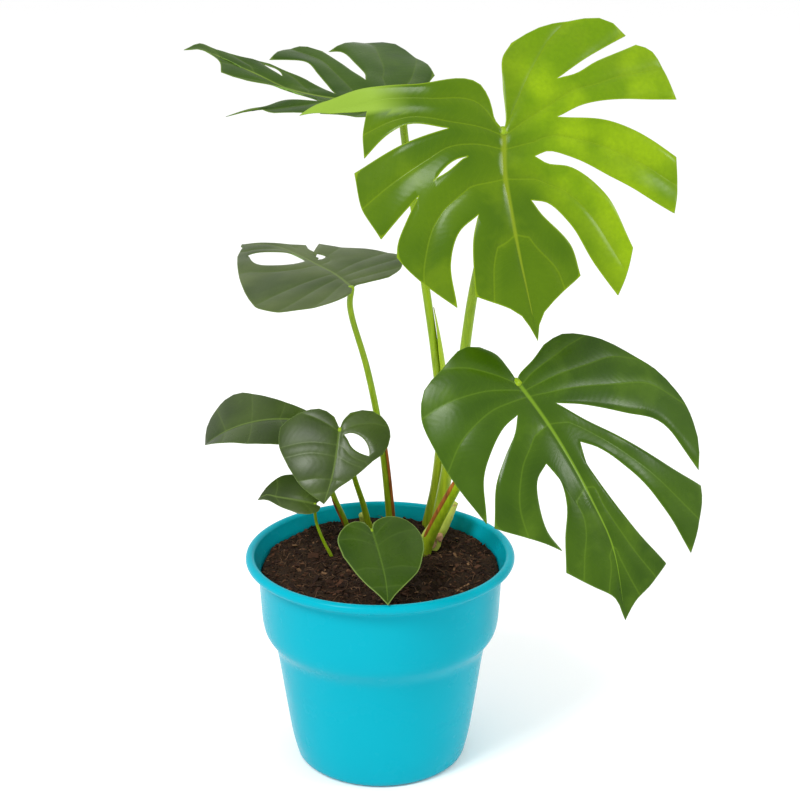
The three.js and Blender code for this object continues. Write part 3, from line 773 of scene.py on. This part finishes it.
def leaf_finish(name, deep, fresh, vein, midrib, margin, under, roughness, wax=0.1, rib_width=1.4,
                painted_light_side=None):
    """Waxy leaf skin: mottled green, pale veins, a lighter rib and rim. The lobes on the right
    of a young leaf may be painted a brighter green: painted light, as though sun falls on them."""
    skin = Finish(name, roughness, wax)
    patch = skin.noise(26, 2)
    colour = skin.blend(skin.ramp(patch, 0.36, 0.64), deep, fresh)
    # Painted light: the lobes on one side of a young leaf are painted a brighter green, as though sun falls
    # on them.
    if painted_light_side:
        painted_light_colour = skin.blend(skin.ramp(patch, 0.42, 0.6), painted_light_side[0], painted_light_side[1])
        colour = skin.blend(skin.ramp(skin.reading("side"), -4, 22), colour, painted_light_colour)
    # Painted highlight: noise patches blended toward the pale vein colour, standing in for gloss on the
    # lobes.
    painted_highlight_patches = skin.ramp(skin.noise(34, 3), 0.56, 0.68, 0, 0.3)
    colour = skin.blend(painted_highlight_patches, colour, vein)
    to_vein = skin.reading("vein")
    halo = skin.ramp(to_vein, 0, 5, 0.16, 0)
    colour = skin.blend(halo, colour, vein)
    stride = skin.sum("ADD", skin.reading("stride"), skin.sum("MULTIPLY", to_vein, 0.8))
    stride = skin.sum("ADD", stride, skin.ramp(skin.noise(60, 2), 0, 1, -3, 3))
    ripple = skin.sum("SINE", skin.sum("MULTIPLY", stride, 1.45), 0)
    branch = skin.sum("MULTIPLY", skin.ramp(ripple, 0.86, 1.0), skin.ramp(to_vein, 0, 9, 0.1, 0.02))
    colour = skin.blend(branch, colour, vein)
    mottle = skin.noise(420, 5)
    colour = skin.blend(skin.ramp(mottle, 0.3, 0.75, 0, 0.22), colour, deep)
    colour = skin.blend(skin.ramp(to_vein, 0.15, 0.75, 0.38, 0), colour, vein)
    taper = skin.ramp(skin.reading("along"), 0, 1, rib_width, 0.25)
    rib = skin.sum("DIVIDE", skin.reading("midrib"), taper)
    colour = skin.blend(skin.ramp(rib, 0.5, 1.3, 0.85, 0), colour, midrib)
    colour = skin.blend(skin.ramp(skin.reading("margin"), 0.15, 0.7, 0.6, 0), colour, margin)
    skin.set("Base Color", skin.blend(skin.reading("under"), colour, under))
    polish = skin.ramp(skin.noise(45, 4), 0.3, 0.7, roughness - 0.06, roughness + 0.08)
    dullness = skin.ramp(skin.reading("under"), 0, 1, 0, 0.2)
    skin.set("Roughness", skin.sum("ADD", polish, dullness))
    relief = skin.sum("ADD", skin.sum("MULTIPLY", mottle, 0.5), skin.ramp(ripple, -1.0, 1.0, 0, 0.2))
    skin.bump(relief, 0.0001, 0.6)
    return skin


stalk_skin = Finish("petiole_skin", 0.35, 0.25)
stalk_fade = stalk_skin.ramp(stalk_skin.reading("along"), 0, 0.5)
stalk_colour = stalk_skin.blend(stalk_fade, (0.34, 0.40, 0.02), (0.25, 0.38, 0.006))
streak = stalk_skin.noise(500, 4, (1, 1, 0.05))
streaks = stalk_skin.ramp(streak, 0.35, 0.7, 0, 0.6)
stalk_skin.set("Base Color", stalk_skin.blend(streaks, stalk_colour, (0.11, 0.21, 0.003)))
stalk_skin.bump(streak, 0.00015)


def petiole_shape(along, angle):
    """A swollen foot, and a shallow channel down the back."""
    return 1 + 0.25 * swelling(along, 0.07, 0.06) - 0.14 * swelling(angle, pi, 0.5)


def grow_leaf(leaf, finish, slot):
    """A blade, and its petiole from the crown up to the blade's underside."""
    number = leaf["number"]
    blade = add_blade(f"leaf_{number}_sheet", leaf, finish, slot)
    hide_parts(f"leaf_{number}_blade")
    up = leaf_axes(leaf)[2]
    end = Vector(leaf["junction"]) - up * 0.2
    bottom = end - up * 1.5
    route = [*leaf["route"], tuple(bottom), tuple(end)]
    radii = (*leaf["radii"], leaf["radii"][-1])
    stalk = tube(route, radii, PETIOLE_SIDES, PETIOLE_STEPS, petiole_shape)
    petiole = add_stem(f"leaf_{number}_stalk", stalk, stalk_skin, "stalk")
    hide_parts(f"leaf_{number}_petiole")


# ---- Leaf 1 ----
# The youngest big leaf: still bright yellow-green, facing front and right at the top. One lobe
# beside the junction is curled back over and shows its paler underside.
leaf_1 = dict(
    number=1, junction=(70, -45, 413), heading=161, slope=-60, roll=12, fold=(5, 8), arch=(0.003, 0.009),
    bow=0.003, groove=0.9, crease=1.7, keel=1.3, wave=2.0,
    curled_lobe=dict(slant=-0.36, inner=48, outer=70),
    rolled=dict(side=1, start=(30, -45), towards=(0.14, -1), radius=10, angle=-15),
    route=[(34, 40, 112), (37, 42, 130), (40, 42, 153), (49, 33, 221), (57, 20, 297), (64, 2, 345),
           (68, -22, 389)],
    midrib=[(0, 0), (4, 23), (4, 47), (3, 73), (1, 97), (-1, 120)],
    radii=(4.2, 4, 3.4, 3.2, 3, 2.8), roots=[0.01, 0.05, 0.14, 0.33],
    veins=[[0.5], [0.5], [0.5], [0.5], [0.25]],
    left_sinus=[(2, -5), (4, -26), (7, -42), (14, -51)],
    left_margins=[[(30, -57), (51, -61), (67, -60), (77, -54)], [(94, -38), (99, -28)], [(94, 45)],
                  [(56, 90)], [(5, 106)]],
    left_clefts=[
        dict(stem=[(12, -9), (35, -25)], back=[(59, -38), (81, -48)],
             fore=[(47, -27), (60, -33), (86, -42)]),
        dict(stem=[(12, 2), (31, -3)], back=[(46, -8), (67, -9), (103, -6)],
             fore=[(58, 3), (76, 12), (96, 28)]),
        dict(stem=[(14, 18)], back=[(22, 16), (34, 21), (58, 37), (89, 60)],
             fore=[(20, 23), (33, 27), (50, 44), (61, 76)]),
        dict(stem=[(8, 42)], back=[(17, 45), (28, 59), (38, 82), (49, 101)],
             fore=[(12, 50), (26, 70), (29, 87)]),
    ],
    right_sinus=[(4, -6), (5, -18), (9, -28), (18, -33), (40, -34), (57, -38), (75, -42), (96, -44),
                 (109, -46), (124, -47)],
    right_margins=[[(104, -39), (86, -32)], [(80, -15)], [(89, 28)], [(66, 71), (54, 84)], [(7, 104)]],
    right_clefts=[
        dict(stem=[(16, -8), (45, -20), (75, -28)]),
        dict(stem=[(12, 0), (31, -5)], back=[(52, -12), (66, -9), (82, 0)],
             fore=[(47, -3), (67, 1), (90, 7)]),
        dict(stem=[(24, 13), (39, 20), (54, 30)], hole=(0.4, 0.75, 3), back=[(66, 39), (80, 50)],
             fore=[(62, 41), (70, 54), (72, 62)]),
        dict(stem=[(14, 44), (23, 46)], back=[(35, 54), (42, 70), (42, 95)], fore=[(28, 60), (31, 90)]),
    ],
)
young_skin = leaf_finish(
    "young_leaf_skin", roughness=0.25, wax=0.13, rib_width=2.0,
    deep=(0.044, 0.1, 0.0004), fresh=(0.068, 0.135, 0.0006), vein=(0.15, 0.24, 0.004),
    midrib=(0.17, 0.235, 0.008), margin=(0.22, 0.33, 0.004), under=(0.20, 0.32, 0.03),
    # Painted light: a brighter green painted on the lobes on its right, as though sun falls on them.
    painted_light_side=((0.11, 0.21, 0.0005), (0.20, 0.325, 0.002)),
)
grow_leaf(leaf_1, young_skin, "young_leaf")

# ---- Leaf 2 ----
# A full-grown dark leaf at the top left, held almost level so it is seen along its face. One
# side is turned up and its tip is drawn out thin.
leaf_2 = dict(
    number=2, junction=(14, 30, 419), heading=-80, slope=5, roll=-10, fold=(-4, 14), arch=(0.004, 0.003),
    bow=0, groove=0.9, crease=1.2, keel=1.2, wave=2.0,
    route=[(30, 60, 112), (32, 59, 130), (37, 56, 162), (40, 52, 208), (36, 47, 250), (24, 39, 335),
           (15, 33, 402)],
    midrib=[(0, 0), (-6, 20), (-9, 40), (-4, 66), (9, 90), (20, 110), (28, 123), (36, 135), (29, 143)],
    radii=(3.6, 3.4, 3, 2.7, 2.6, 2.4), roots=[0.06, 0.26, 0.46],
    veins=[[0.3, 0.7], [0.5], [0.5], [0.3, 0.65]],
    left_sinus=[(3, -10), (10, -18)],
    left_margins=[[(16, -18), (24, -8), (28, 8), (31, 26)], [(35, 61), (37, 70), (34, 78), (40, 86)], [],
                  [(-20, 118), (-32, 133)]],
    left_clefts=[
        dict(stem=[(14, 18), (26, 38)], back=[(30, 42), (32, 43)], fore=[(30, 46), (33, 52)]),
        dict(stem=[(16, 47)], back=[(21, 67), (30, 76), (36, 84), (47, 96)],
             fore=[(10, 58), (2, 74), (-1, 96)]),
        dict(stem=[(-6, 94), (-6, 113)]),
    ],
    right_sinus=[(10, -10), (28, -15)],
    right_margins=[[(46, -6), (60, 6), (73, 24), (72, 38), (59, 49)], [(51, 73), (41, 84)], [],
                   [(30, 110), (34, 123), (40, 136)]],
    right_clefts=[
        dict(stem=[(14, 25)], back=[(22, 27), (35, 36), (48, 47), (47, 55)],
             fore=[(22, 33), (33, 44), (47, 59)]),
        dict(stem=[(-4, 40)], back=[(4, 46), (16, 55), (28, 66), (27, 88)],
             fore=[(4, 54), (12, 66), (23, 87)]),
        dict(stem=[(13, 78), (27, 100)], hole=(0.3, 0.75, 3)),
    ],
)
dark_skin = leaf_finish(
    "dark_leaf_skin", roughness=0.3,
    deep=(0.018, 0.045, 0.003), fresh=(0.035, 0.075, 0.005), vein=(0.07, 0.12, 0.015),
    midrib=(0.13, 0.2, 0.02), margin=(0.12, 0.19, 0.02), under=(0.12, 0.22, 0.03),
)
grow_leaf(leaf_2, dark_skin, "deep_leaf")

# ---- Leaf 3 ----
# The largest and glossiest leaf, deep green, hanging forward at the right. Its broad blade has
# two deep splits on each side.
leaf_3 = dict(
    number=3, junction=(79, -65, 272), heading=137, slope=-45, roll=20, fold=(0, 5), arch=(0.003, 0.012),
    bow=0.003, groove=1.1, crease=0.5, keel=1.3, wave=1.5,
    route=[(25, 20, 112), (28, 17, 130), (34, 9, 150), (42, -2, 172), (62, -30, 224), (74, -51, 256)],
    midrib=[(0, 0), (-3, 25), (-5, 52), (-6, 80), (-6, 108), (4, 150)],
    radii=(4, 4, 3.6, 3.3, 3, 2.8), roots=[0.1, 0.3], veins=[[0.2, 0.45, 0.72], [0.5], [0.25, 0.6]],
    left_sinus=[(3, -3), (16, -8), (28, -14)],
    left_margins=[[(43, -16), (62, -6), (82, 15), (94, 35), (98, 56), (93, 78)], [(77, 110), (65, 123)],
                  [(21, 138), (6, 143)]],
    left_clefts=[
        dict(stem=[(14, 21)], back=[(31, 29), (53, 43), (73, 57), (83, 93)],
             fore=[(26, 37), (49, 64), (67, 87), (80, 102)]),
        dict(stem=[(16, 47)], back=[(25, 55), (40, 79), (48, 104), (53, 134)],
             fore=[(13, 56), (15, 72), (23, 104), (34, 132)]),
    ],
    right_sinus=[(1, -10), (3, -20), (9, -28)],
    right_margins=[[(18, -32), (35, -27), (51, -21), (60, -8), (63, 9), (61, 40)], [(48, 75), (31, 90)],
                   [(15, 124), (5, 136)]],
    right_clefts=[
        dict(stem=[(11, 18)], back=[(22, 21), (35, 30), (46, 42), (56, 66)],
             fore=[(18, 27), (29, 36), (42, 49), (53, 70)]),
        dict(stem=[(10, 50)], back=[(19, 56), (25, 70), (27, 84), (24, 98)],
             fore=[(7, 62), (10, 76), (19, 92), (27, 110)]),
    ],
)
glossy_skin = leaf_finish(
    "glossy_leaf_skin", roughness=0.24, wax=0.16,
    deep=(0.024, 0.062, 0.0005), fresh=(0.038, 0.088, 0.001), vein=(0.09, 0.17, 0.008),
    midrib=(0.14, 0.25, 0.012), margin=(0.08, 0.16, 0.005), under=(0.13, 0.24, 0.03),
)
grow_leaf(leaf_3, glossy_skin, "deep_leaf")

# ---- Leaf 4 ----
# A half-grown leaf held level at the middle left, duller and greyer than the big ones. One long
# window opens beside its midrib.
leaf_4 = dict(
    number=4, junction=(-17, 10, 309), heading=-35, slope=5, roll=-10, fold=(0, 0), arch=(0.002, 0.002),
    bow=0.001, groove=0.8, crease=0.7, keel=1.0, wave=1.5,
    route=[(5, 52, 112), (7, 52, 130), (5, 48, 161), (0, 39, 206), (-8, 30, 251), (-17, 18, 288),
           (-18, 14, 298)],
    midrib=[(0, 0), (4, 24), (5, 46), (7, 80), (6, 104), (-4, 125)],
    radii=(3, 2.8, 2.4, 2.2, 2.1, 1.9), roots=[0.25, 0.42, 0.8],
    veins=[[0.25, 0.5, 0.75], [0.5], [0.5], [0.5]],
    left_sinus=[(6, -9), (12, -12)],
    left_margins=[[(21, -12), (33, -7), (48, 4), (54, 19), (52, 34)], [(41, 64), (31, 84)], [(14, 111)],
                  [(7, 121)]],
    left_clefts=[
        dict(stem=[(14, 40), (48, 47)]),
        dict(stem=[(1, 62), (8, 78), (12, 94), (19, 105)], hole=(0.06, 0.87, 24)),
        dict(stem=[(-2, 108), (8, 117)]),
    ],
    right_sinus=[(9, -3), (24, -6)],
    right_margins=[[(34, -2), (41, 4), (49, 14), (50, 26), (47, 36)], [(35, 57), (30, 67)], [(15, 92)],
                   [(4, 116)]],
    right_clefts=[
        dict(stem=[(20, 40), (42, 46)]),
        dict(stem=[(12, 52), (15, 65)], hole=(0.2, 0.74, 6), back=[(21, 71), (26, 76)],
             fore=[(16, 73), (19, 81)]),
        dict(stem=[(8, 103), (9, 106)]),
    ],
)
grey_skin = leaf_finish(
    "grey_green_leaf_skin", roughness=0.38, rib_width=1.0,
    deep=(0.042, 0.066, 0.016), fresh=(0.085, 0.115, 0.035), vein=(0.09, 0.13, 0.035),
    midrib=(0.12, 0.17, 0.04), margin=(0.10, 0.15, 0.03), under=(0.14, 0.22, 0.06),
)
grow_leaf(leaf_4, grey_skin, "grey_leaf")

# ---- Leaf 5 ----
# An uncut juvenile leaf at the left. Its small blade arches over and droops at its tip, and its
# edges are turned up a little.
leaf_5 = dict(
    number=5, junction=(-48, 44, 211), heading=-91, slope=8, roll=-23, fold=(8, 7), arch=(0.008, 0.004),
    bow=0.013, groove=0.7, crease=0.5, keel=0.8, wave=1.0,
    route=[(-20, 58, 112), (-22, 58, 130), (-30, 56, 152), (-37, 53, 175), (-44, 48, 196)],
    midrib=[(0, 0), (1, 24), (1, 48), (0, 73)],
    radii=(2.4, 2.1, 1.9, 1.7, 1.6), roots=[0.35], veins=[[0.3, 0.65], [0.2, 0.6]],
    left_sinus=[(4, -6)],
    left_margins=[[(14, -8), (22, 0), (25, 12)], [(20, 38), (12, 54), (5, 66)]],
    left_clefts=[dict(stem=[(12, 24), (24, 25)])],
    right_sinus=[(4, -5)],
    right_margins=[[(8, -1), (13, 10)], [(26, 34), (32, 47), (30, 60), (17, 71)]],
    right_clefts=[dict(stem=[(10, 24), (20, 24)])],
)
small_skin = leaf_finish(
    "small_leaf_skin", roughness=0.3, wax=0.2, rib_width=1.0,
    deep=(0.024, 0.044, 0.006), fresh=(0.045, 0.075, 0.012), vein=(0.07, 0.11, 0.02),
    midrib=(0.09, 0.14, 0.025), margin=(0.08, 0.13, 0.02), under=(0.14, 0.22, 0.06),
)
grow_leaf(leaf_5, small_skin, "grey_leaf")

# ---- Leaf 6 ----
# A small leaf that hangs forward in the middle. It has no open splits, only one oval window, on
# the right as it is seen from the front.
leaf_6 = dict(
    number=6, junction=(-25, 10, 217), heading=186, slope=-50, roll=0, fold=(5, 5), arch=(0.01, 0.01),
    bow=0.005, groove=0.7, crease=0.5, keel=0.8, wave=1.0,
    route=[(-4, 56, 112), (-7, 55, 130), (-11, 50, 150), (-16, 40, 171), (-21, 25, 198)],
    midrib=[(0, 0), (1, 16), (3, 32), (7, 48)],
    radii=(2.4, 2.2, 1.9, 1.7, 1.6), roots=[0.06, 0.5], veins=[[0.5], [0.35, 0.7], [0.35, 0.7]],
    left_sinus=[(2, -6), (6, -11)],
    left_margins=[[(13, -13), (22, -12), (29, -6), (32, 3), (29, 14)], [(18, 24)], [(8, 33), (0, 39)]],
    left_clefts=[
        dict(stem=[(7, 5), (13, 10), (18, 15), (22, 20)], hole=(0.12, 0.87, 9)),
        dict(stem=[(8, 26), (14, 28)]),
    ],
    right_sinus=[(4, -8)],
    right_margins=[[(12, -13), (22, -12), (32, -7), (39, 0)], [(38, 12)], [(22, 37)]],
    right_clefts=[
        dict(stem=[(20, 2), (39, 5)]),
        dict(stem=[(16, 22), (31, 25)]),
    ],
)
grow_leaf(leaf_6, small_skin, "grey_leaf")

# ---- Leaf 7 ----
# The smallest leaf, low at the left on a thin petiole. It is uncut, and cupped along its length
# as it droops.
leaf_7 = dict(
    number=7, junction=(-41, 10, 167), heading=-95, slope=0, roll=-40, fold=(0, 0), arch=(0.008, 0.008),
    bow=0.02, groove=0.5, crease=0.3, keel=0.5, wave=0.6,
    route=[(-27, 15, 114), (-30, 14, 126), (-37, 13, 142), (-41, 13, 155)],
    midrib=[(0, 0), (4, 12), (9, 24), (14, 34), (13, 41)],
    radii=(1.3, 1.1, 1), roots=[0.4], veins=[[0.5], [0.4]],
    left_sinus=[(2, -3)],
    left_margins=[[(5, -2), (7, 4)], [(-1, 22), (-10, 33)]],
    left_clefts=[dict(stem=[(4, 10), (6, 11)])],
    right_sinus=[(3, -4)],
    right_margins=[[(12, -5), (19, 3)], [(25, 22), (20, 33)]],
    right_clefts=[dict(stem=[(14, 11), (24, 13)])],
)
grow_leaf(leaf_7, small_skin, "grey_leaf")

# ---- Leaf 8 ----
# A heart-shaped uncut leaf that leans out over the front of the rim. Its skin is dark and smooth,
# with a paler rim.
leaf_8 = dict(
    number=8, junction=(-5, -35, 168), heading=168, slope=-27, roll=0, fold=(5, 5), arch=(0.01, 0.01),
    bow=0.001, groove=0.6, crease=0.3, keel=0.6, wave=0.5,
    route=[(8, 24, 112), (8, 22, 130), (4, 4, 144), (-2, -16, 154), (-4, -29, 160)],
    midrib=[(0, 0), (-1, 20), (-1, 40), (1, 57)],
    radii=(2, 1.9, 1.7, 1.5, 1.4), roots=[0.35], veins=[[0.3, 0.65], [0.3, 0.65]],
    left_sinus=[(2, -5)],
    left_margins=[[(7, -8), (14, -9), (22, -6), (28, 1), (30, 9)], [(22, 34), (13, 43), (4, 51)]],
    left_clefts=[dict(stem=[(14, 16), (29, 18)])],
    right_sinus=[(4, -6)],
    right_margins=[[(10, -7), (17, -3), (22, 5)], [(13, 38), (5, 50)]],
    right_clefts=[dict(stem=[(12, 16), (21, 19)])],
)
heart_skin = leaf_finish(
    "heart_leaf_skin", roughness=0.26, wax=0.16, rib_width=0.8,
    deep=(0.02, 0.05, 0.003), fresh=(0.045, 0.09, 0.006), vein=(0.06, 0.11, 0.015),
    midrib=(0.07, 0.13, 0.015), margin=(0.22, 0.32, 0.07), under=(0.12, 0.2, 0.04),
)
grow_leaf(leaf_8, heart_skin, "grey_leaf")

# ---- Leaf sheaths ----
# Thin wings along the lower petioles, each of which wrapped the next leaf while that leaf grew.
# The youngest is still green and ends in a free point. The old ones have dried to brown papery
# strips that cling to the petiole.
SHEATH_STEPS = 44
SHEATH_COLUMNS = 12
SHEATH_THICK = 0.5
SHEATH_FOOT = 0.12


def add_sheath(name, route, reach, turn, offset, radius, spread, finish, slot):
    """A strip along part of a petiole, curved round a line that lies offset from its middle.
    The turn is from the front towards the right."""
    start, end = reach
    places = [start + (end - start) * step / SHEATH_STEPS for step in range(SHEATH_STEPS + 1)]
    line = smooth_line(route, places)
    turn = radians(turn)
    points = []
    rings = []
    alongs = []
    for step, (place, (ahead, front, side_way)) in enumerate(zip(line, upright_frames(line))):
        along = step / SHEATH_STEPS
        narrow = max(1 - along ** 5, 0.03) * (0.55 + 0.45 * min(along / SHEATH_FOOT, 1))
        ragged = 1 + 0.12 * noise.noise(Vector((along * 9, turn, offset)))
        out = front * cos(turn) + side_way * sin(turn)
        over = side_way * cos(turn) - front * sin(turn)
        columns = range(SHEATH_COLUMNS + 1)
        for skin in (radius, radius - SHEATH_THICK):
            for column in columns:
                angle = radians(spread) * narrow * ragged * (2 * column / SHEATH_COLUMNS - 1)
                bow = out * cos(angle) + over * sin(angle)
                points.append(place + out * offset * narrow + bow * skin)
                alongs.append(along)
            columns = columns[::-1]
        rings.append(list(range(len(points) - 2 * SHEATH_COLUMNS - 2, len(points))))
    faces = stitch(rings)
    for ring in (rings[0][::-1], rings[-1]):
        for column in range(SHEATH_COLUMNS):
            faces.append([ring[column], ring[column + 1], ring[-2 - column], ring[-1 - column]])
    add_stem(name, (points, faces, alongs), finish, slot)


green_sheath = Finish("green_sheath_skin", 0.4, 0.2)
sheath_streak = green_sheath.noise(400, 4, (1, 1, 0.05))
sheath_colour = green_sheath.blend(sheath_streak, (0.22, 0.36, 0.01), (0.42, 0.55, 0.03))
sheath_tip = green_sheath.ramp(green_sheath.reading("along"), 0.96, 1, 0, 0.8)
sheath_colour = green_sheath.blend(sheath_tip, sheath_colour, (0.10, 0.09, 0.01))
green_sheath.set("Base Color", sheath_colour)
green_sheath.bump(sheath_streak, 0.0002)
add_sheath("leaf_2_sheath", leaf_2["route"], (0.12, 0.6), 80, 3.0, 3.4, 105, green_sheath, "stalk")

dry_sheath = Finish("dried_sheath", 0.75, 0.15)
dry_grain = dry_sheath.noise(350, 5, (1, 1, 0.08))
dry_streaks = dry_sheath.ramp(dry_grain, 0.35, 0.65)
dry_colour = dry_sheath.blend(dry_streaks, (0.36, 0.12, 0.015), (0.13, 0.04, 0.01))
dry_sheath.set("Base Color", dry_colour)
dry_sheath.bump(dry_grain, 0.0003)
dried = [
    (leaf_3, (0.16, 0.62), -70, 2.6, 1.9, 80),
    (leaf_4, (0.1, 0.55), 70, 1.0, 2.4, 55),
    (leaf_5, (0.24, 0.5), -50, 0.8, 1.7, 50),
]
for leaf, *fit in dried:
    add_sheath(f"leaf_{leaf['number']}_dry_sheath", leaf["route"], *fit, dry_sheath, "pale_stem")

# ---- Studio ----
# A pale seamless floor, a white sky for soft fill, a large soft key from the front left and
# a smaller light from the right, with the camera a little above the leaves.
CAMERA_LENS = 77.2
CAMERA_SENSOR = 36
CAMERA_DISTANCE = 1.0
CAMERA_HEIGHT = 0.573
CAMERA_DIP = 0.322
CAMERA_TURN = -0.0125
FLOOR_REACH = 6

camera_data = bpy.data.cameras.new("camera")
camera_data.lens = CAMERA_LENS
camera_data.sensor_width = CAMERA_SENSOR
camera = add_object("camera", camera_data)
camera.location = (0, -CAMERA_DISTANCE, CAMERA_HEIGHT)
camera.rotation_euler = (pi / 2 - CAMERA_DIP, 0, CAMERA_TURN)
bpy.context.scene.camera = camera

floor_mesh = bpy.data.meshes.new("floor")
corners = [(x * FLOOR_REACH, y * FLOOR_REACH, 0) for x, y in ((-1, -1), (1, -1), (1, 1), (-1, 1))]
floor_mesh.from_pydata(corners, [], [[0, 1, 2, 3]])
floor = add_object("floor", floor_mesh)
paper = Finish("pale_floor", 0.9)
paper.set("Base Color", (0.98, 0.98, 0.98))
floor_mesh.materials.append(paper.material)

sky = bpy.data.worlds.new("sky")
sky.use_nodes = True
sky.node_tree.nodes["Background"].inputs["Color"].default_value = (1, 1, 1, 1)
sky.node_tree.nodes["Background"].inputs["Strength"].default_value = 1.0
bpy.context.scene.world = sky
bpy.context.scene.view_settings.view_transform = "Standard"


def add_softbox(name, place, aim, size, power):
    light = bpy.data.lights.new(name, "AREA")
    light.shape = "DISK"
    light.size = size
    light.energy = power
    lamp = add_object(name, light)
    lamp.location = place
    lamp.rotation_euler = (Vector(aim) - Vector(place)).to_track_quat("-Z", "Y").to_euler()


add_softbox("key_light", (-1.1, -1.3, 1.9), (0, 0, 0.2), 0.8, 36)
add_softbox("right_light", (1.5, -0.6, 1.3), (0, 0, 0.3), 0.4, 8)
